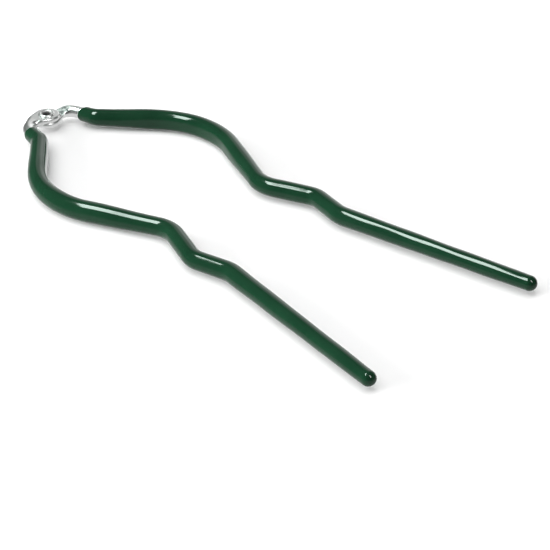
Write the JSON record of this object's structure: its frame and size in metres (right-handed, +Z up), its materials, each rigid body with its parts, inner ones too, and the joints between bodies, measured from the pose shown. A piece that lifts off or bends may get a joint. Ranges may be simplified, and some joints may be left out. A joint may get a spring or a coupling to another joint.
{
  "type": "jar lifter",
  "caption": "Jar lifter: bent steel arms dipped in dark green vinyl and riveted at one end, with round jaws that grip a jar by its neck and straight handles.",
  "frame": {"origin": "centre of the gripped jar neck, halfway up the arms", "axes": "+X from the hinge towards the handle tips, +Y towards the rear arm, +Z up out of the plane of the arms"},
  "size_m": [0.2806, 0.1038, 0.0102],
  "materials": {
    "arm_steel": "bright plated steel, satin where it was pressed",
    "rivet_steel": "plated steel, satin",
    "vinyl_coating": "glossy dipped vinyl, dark green"
  },
  "bodies": {
    "front_arm": {"front_arm_rod": "arm_steel", "front_arm_coating": "vinyl_coating", "pivot_rivet": "rivet_steel"},
    "rear_arm": {"rear_arm_rod": "arm_steel", "rear_arm_coating": "vinyl_coating"}
  },
  "joints": [
    {"name": "arm_hinge", "type": "hinge", "parent": "front_arm", "child": "rear_arm", "pos_m": [-0.0702, 0, 0], "axis": [0, 0, 1], "range_deg": [-18.6, 118]}
  ]
}
